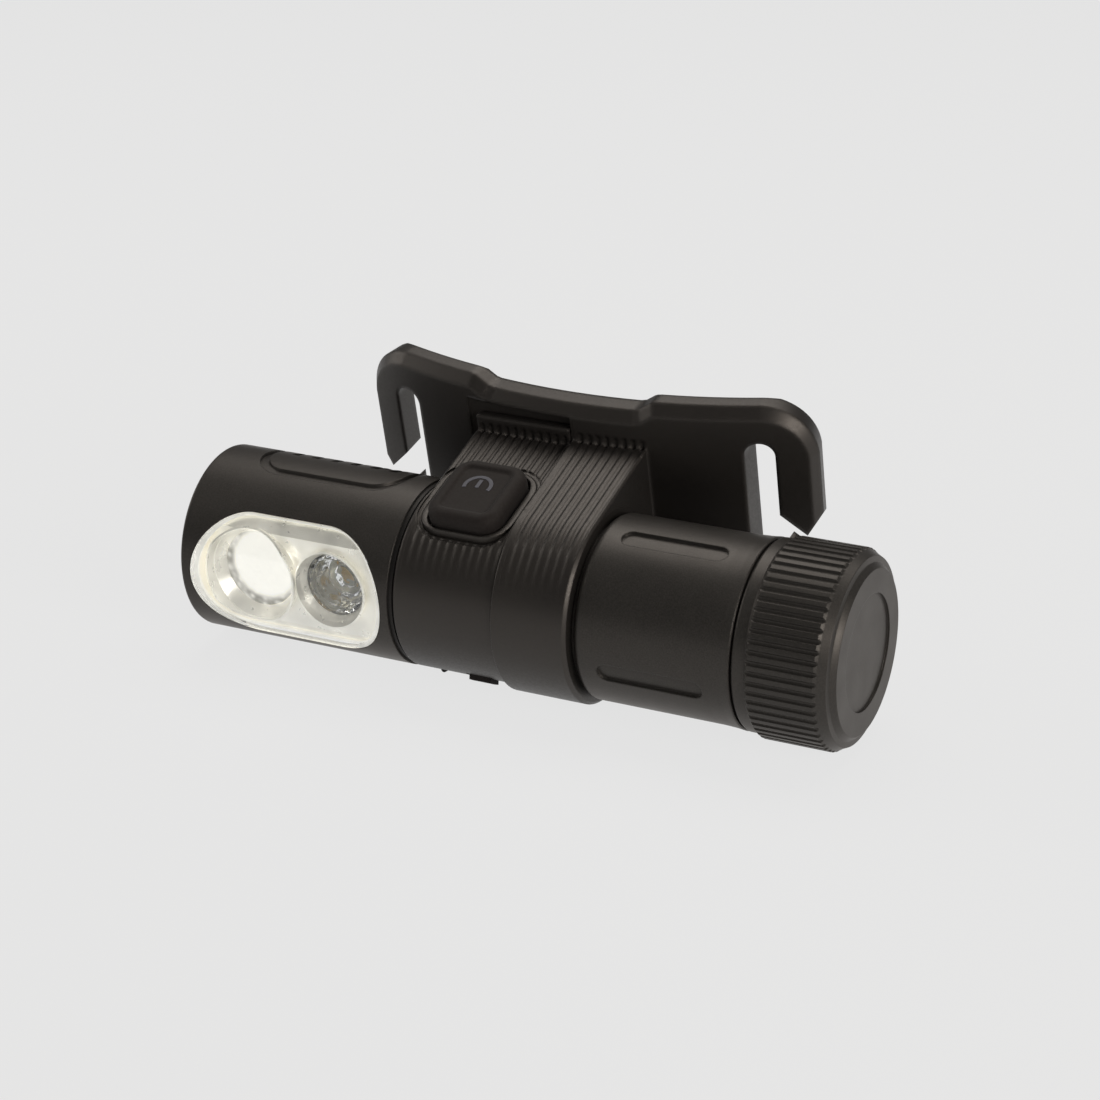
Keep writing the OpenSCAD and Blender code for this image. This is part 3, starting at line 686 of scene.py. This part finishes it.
class HEADLAMP_OT_inside(bpy.types.Operator):
    """Finishes the pieces inside the torch"""
    bl_idname = "headlamp.inside"
    bl_label = "Inner pieces"

    def execute(self, context):
        green = circuit_board("circuit_board_green_mask", "#1d4a33", "#2f6a48")
        dress("driver_board", green)
        dress("switch_board", green)
        steel = turned_metal("stainless_steel_drawn", "#b4b5b7", 0.32)
        for node in ("charging_port", "retaining_ring", "tact_switch", "battery_terminal"):
            dress(node, steel)
        brass = turned_metal("brass_turned", "#c8a255", 0.28)
        for node in ("front_contact", "tail_contact", "tail_spring"):
            dress(node, brass)
        dress("contact_carrier", moulded_plastic("nylon_white_moulded", "#dcdad2", 0.45))
        dress("battery_cell", moulded_plastic("pvc_shrink_film_blue", "#274f7d", 0.3))
        return {"FINISHED"}


class HEADLAMP_OT_button(bpy.types.Operator):
    """Models the button at its own width, and the collar that narrows its well"""
    bl_idname = "headlamp.button"
    bl_label = "Button and collar"

    def cap(self, context, width, length, base, top):
        """A soft block with rounded corners and a dish in its top."""
        corner, rounding = 3.3 * MM, 1.4 * MM
        land, dish_slope, dish_depth = 0.4 * MM, 0.5 * MM, 0.45 * MM
        near_top = top - 0.01 * MM
        clear_selection()
        bpy.ops.mesh.primitive_cube_add(size=1, location=(0, 0, (base + top) / 2))
        cap = context.object
        cap.name = "button_cap"
        bpy.ops.transform.resize(value=(width, length, top - base))
        freeze()
        pick(cap, edges=lambda a, b: abs(a.z - b.z) > 0.5 * (top - base))
        bpy.ops.mesh.bevel(offset=corner, segments=10, affect="EDGES")
        bpy.ops.object.mode_set(mode="OBJECT")
        pick(cap, edges=lambda a, b: min(a.z, b.z) > near_top)
        bpy.ops.mesh.bevel(offset=rounding, segments=6, affect="EDGES")
        bpy.ops.object.mode_set(mode="OBJECT")
        pick(cap, faces=lambda f: f.normal.z > 0.99 and f.center.z > near_top)
        bpy.ops.mesh.inset(thickness=land)
        bpy.ops.mesh.inset(thickness=dish_slope, depth=-dish_depth)
        bpy.ops.object.mode_set(mode="OBJECT")
        return cap

    def collar(self, context, wide, length, width, base):
        """A ring that fills the well of the solid button up to a slack round the narrower one."""
        # the well leaves 0.75 mm round the solid button
        well, slack, corner = 0.7 * MM, 0.35 * MM, 4.15 * MM
        rim, depth = base + 1.03 * MM, 1.83 * MM
        clear_selection()
        bpy.ops.mesh.primitive_plane_add(size=1, location=(0, 0, rim))
        collar = context.object
        collar.name = "button_collar"
        bpy.ops.transform.resize(value=(wide + 2 * well, length + 2 * well, 1))
        freeze()
        bpy.ops.object.mode_set(mode="EDIT")
        bpy.ops.mesh.select_mode(type="VERT")
        bpy.ops.mesh.select_all(action="SELECT")
        bpy.ops.mesh.bevel(offset=corner, segments=10, affect="VERTICES")
        bpy.ops.object.mode_set(mode="OBJECT")
        pick(collar, faces=lambda f: True)
        bpy.ops.mesh.inset(thickness=well - slack)
        narrow = (width + 2 * slack) / (wide + 2 * slack)
        bpy.ops.transform.resize(value=(narrow, 1, 1), center_override=(0, 0, rim))
        bpy.ops.mesh.delete(type="FACE")
        bpy.ops.object.mode_set(mode="OBJECT")
        apply_modifier(collar, "depth", "SOLIDIFY", thickness=depth, offset=-1)
        return collar

    def settle(self, piece, place, softness, mat):
        """Softens the edges and puts the piece on the slope."""
        select_alone(piece)
        apply_modifier(piece, "edge", "BEVEL", width=softness, segments=3, limit_method="ANGLE")
        bpy.ops.object.mode_set(mode="EDIT")
        bpy.ops.mesh.select_all(action="SELECT")
        bpy.ops.mesh.normals_make_consistent(inside=False)
        bpy.ops.object.mode_set(mode="OBJECT")
        bpy.ops.object.shade_smooth_by_angle(angle=math.radians(35))
        seat(piece, place, SLOPE_UP, SLOPE_NORMAL, mat)

    def execute(self, context):
        width = context.scene.headlamp_style.button_width
        points = [v.co - AXIS for v in NODES["button"].data.vertices]
        sides = [v.x for v in points]
        ups = [SLOPE_UP.dot(v) for v in points]
        outs = [SLOPE_NORMAL.dot(v) for v in points]
        wide, length = max(sides) - min(sides), max(ups) - min(ups)
        base, top = min(outs), max(outs)
        place = (AXIS + X_AXIS * (max(sides) + min(sides)) / 2
                 + SLOPE_UP * (max(ups) + min(ups)) / 2)

        cap = self.cap(context, width, length, base, top)
        self.settle(cap, place, 0.25 * MM, NODES["button"].data.materials[0])
        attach(cap, "button")
        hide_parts("button")

        collar = self.collar(context, wide, length, width, base)
        self.settle(collar, place, 0.1 * MM, moulded_nylon())
        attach(collar, "lamp")
        clear_selection()
        return {"FINISHED"}


class HEADLAMP_OT_power_mark(bpy.types.Operator):
    """Models the power mark in the button's dish"""
    bl_idname = "headlamp.power_mark"
    bl_label = "Power mark"

    def execute(self, context):
        style = context.scene.headlamp_style
        outer, stroke = style.mark_radius, style.mark_stroke
        # place on the button: along the torch, up the slope and out from the axis
        aside, along, height = -0.4 * MM, 3.2 * MM, 16.2 * MM
        half_opening = math.radians(70)
        clear_selection()
        bpy.ops.mesh.primitive_circle_add(vertices=72, radius=outer, fill_type="NOTHING")
        mark = context.object
        mark.name = "power_mark"
        bpy.ops.object.mode_set(mode="EDIT")
        bpy.ops.mesh.select_all(action="SELECT")
        bpy.ops.mesh.extrude_region_move()
        inner = (outer - stroke) / outer
        bpy.ops.transform.resize(value=(inner, inner, 1))
        # open the ring towards the front of the slope
        bpy.ops.mesh.select_all(action="DESELECT")
        bpy.ops.object.mode_set(mode="OBJECT")
        for face in mark.data.polygons:
            angle = math.atan2(face.center.x, -face.center.y)
            face.select = abs(angle) < half_opening
        bpy.ops.object.mode_set(mode="EDIT")
        bpy.ops.mesh.delete(type="FACE")
        bar = (0, outer * 0.2, 0)
        bpy.ops.mesh.primitive_plane_add(size=1, location=bar)
        bpy.ops.transform.resize(value=(stroke, outer * 0.8, 1), center_override=bar)
        bpy.ops.object.mode_set(mode="OBJECT")
        apply_modifier(mark, "thickness", "SOLIDIFY", thickness=0.14 * MM, offset=0)
        apply_modifier(mark, "edge", "BEVEL", width=0.04 * MM, segments=2)
        low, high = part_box("button")
        middle = Vector(((low.x + high.x) / 2 + aside, AXIS_Y, AXIS_Z))
        place = middle + SLOPE_UP * along + SLOPE_NORMAL * height
        seat(mark, place, SLOPE_UP, SLOPE_NORMAL, pad_print_ink())
        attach(mark, "button")
        clear_selection()
        return {"FINISHED"}


class HEADLAMP_OT_stage(bpy.types.Operator):
    """Sets the camera, the floor, the world and the soft boxes"""
    bl_idname = "headlamp.stage"
    bl_label = "Studio"

    def soft_box(self, context, name, place, size, power):
        """A rectangular light that looks at the torch."""
        light = bpy.data.lights.new(name, "AREA")
        light.shape = "RECTANGLE"
        light.size, light.size_y = size
        light.energy = power
        light.color = srgb("#fffbf6")[:3]
        lamp = bpy.data.objects.new(name, light)
        lamp.location = place
        aim = Vector((0, 0, 0.02))
        lamp.rotation_euler = (aim - Vector(place)).to_track_quat("-Z", "Y").to_euler()
        context.scene.collection.objects.link(lamp)

    def camera(self, scene):
        """The photograph's point of view."""
        camera = bpy.data.objects.new("camera", bpy.data.cameras.new("camera"))
        camera.data.sensor_width = CAMERA_SENSOR
        camera.data.lens = CAMERA_LENS
        camera.data.clip_start = 0.01
        camera.location = CAMERA_PLACE
        camera.rotation_euler = CAMERA_TURN
        scene.collection.objects.link(camera)
        scene.camera = camera

    def floor(self, context, colour):
        """Pale paper that looks evenly lit and still takes the shadow."""
        clear_selection()
        bpy.ops.mesh.primitive_plane_add(size=8, location=(0, 0, -0.2 * MM))
        floor = context.object
        floor.name = "floor"
        mat = bpy.data.materials.new("paper_floor")
        mat.use_nodes = True
        tree = mat.node_tree
        tree.nodes.clear()
        path = add(tree, "ShaderNodeLightPath").outputs
        seen = maths(tree, "MAXIMUM", path["Is Camera Ray"], path["Is Glossy Ray"])
        seen = maths(tree, "MAXIMUM", seen, path["Is Transmission Ray"])
        share = maths(tree, "MULTIPLY", seen, 0.94)
        even = add(tree, "ShaderNodeEmission", {"Color": colour, "Strength": 1.0})
        paper = add(tree, "ShaderNodeBsdfDiffuse", {"Color": colour})
        both = add(tree, "ShaderNodeMixShader",
                   {0: share, 1: paper.outputs[0], 2: even.outputs[0]})
        add(tree, "ShaderNodeOutputMaterial", {"Surface": both.outputs[0]})
        floor.data.materials.append(mat)

    def world(self, scene, colour):
        """A backdrop in the floor's colour for the camera, and a dim room for everything else."""
        world = bpy.data.worlds.new("studio")
        scene.world = world
        world.use_nodes = True
        sky = world.node_tree
        sky.nodes.clear()
        ray = add(sky, "ShaderNodeLightPath").outputs
        room = add(sky, "ShaderNodeBackground", {"Color": srgb("#e6e6e6"), "Strength": 0.17})
        backdrop = add(sky, "ShaderNodeBackground", {"Color": colour, "Strength": 1.0})
        both = add(sky, "ShaderNodeMixShader",
                   {0: ray["Is Camera Ray"], 1: room.outputs[0], 2: backdrop.outputs[0]})
        add(sky, "ShaderNodeOutputWorld", {"Surface": both.outputs[0]})

    def execute(self, context):
        scene = context.scene
        style = scene.headlamp_style
        scene.view_settings.view_transform = "Standard"
        colour = srgb(style.floor_colour)
        self.camera(scene)
        self.floor(context, colour)
        self.world(scene, colour)
        top, side = style.key_power, style.side_power
        self.soft_box(context, "box_top", (-0.05, 0.28, 0.68), (0.7, 0.5), top)
        self.soft_box(context, "box_right", (0.6, -0.3, 0.26), (0.36, 0.26), 1.6 * side)
        self.soft_box(context, "box_left", (-0.65, -0.1, 0.3), (0.4, 0.4), 0.6 * side)
        clear_selection()
        return {"FINISHED"}


OPERATORS = (HEADLAMP_OT_stage, HEADLAMP_OT_metal, HEADLAMP_OT_mouldings, HEADLAMP_OT_rubber,
             HEADLAMP_OT_optics, HEADLAMP_OT_dish_walls, HEADLAMP_OT_inside, HEADLAMP_OT_button,
             HEADLAMP_OT_power_mark)


class HEADLAMP_PT_panel(bpy.types.Panel):
    """Lists the steps that dress the torch"""
    bl_idname = "HEADLAMP_PT_panel"
    bl_label = "Headlamp torch"
    bl_space_type = "VIEW_3D"
    bl_region_type = "UI"
    bl_category = "Headlamp"

    def draw(self, context):
        for operator in OPERATORS:
            self.layout.operator(operator.bl_idname)
        for name in HeadlampStyle.__annotations__:
            self.layout.prop(context.scene.headlamp_style, name)


CLASSES = (HeadlampStyle,) + OPERATORS + (HEADLAMP_PT_panel,)


def register():
    for cls in CLASSES:
        bpy.utils.register_class(cls)
    bpy.types.Scene.headlamp_style = bpy.props.PointerProperty(type=HeadlampStyle)


def unregister():
    del bpy.types.Scene.headlamp_style
    for cls in reversed(CLASSES):
        bpy.utils.unregister_class(cls)


def main():
    register()
    bpy.ops.headlamp.stage()
    bpy.ops.headlamp.metal()
    bpy.ops.headlamp.mouldings()
    bpy.ops.headlamp.rubber()
    bpy.ops.headlamp.optics()
    bpy.ops.headlamp.dish_walls()
    bpy.ops.headlamp.inside()
    bpy.ops.headlamp.button()
    bpy.ops.headlamp.power_mark()


if __name__ == "__main__":
    main()
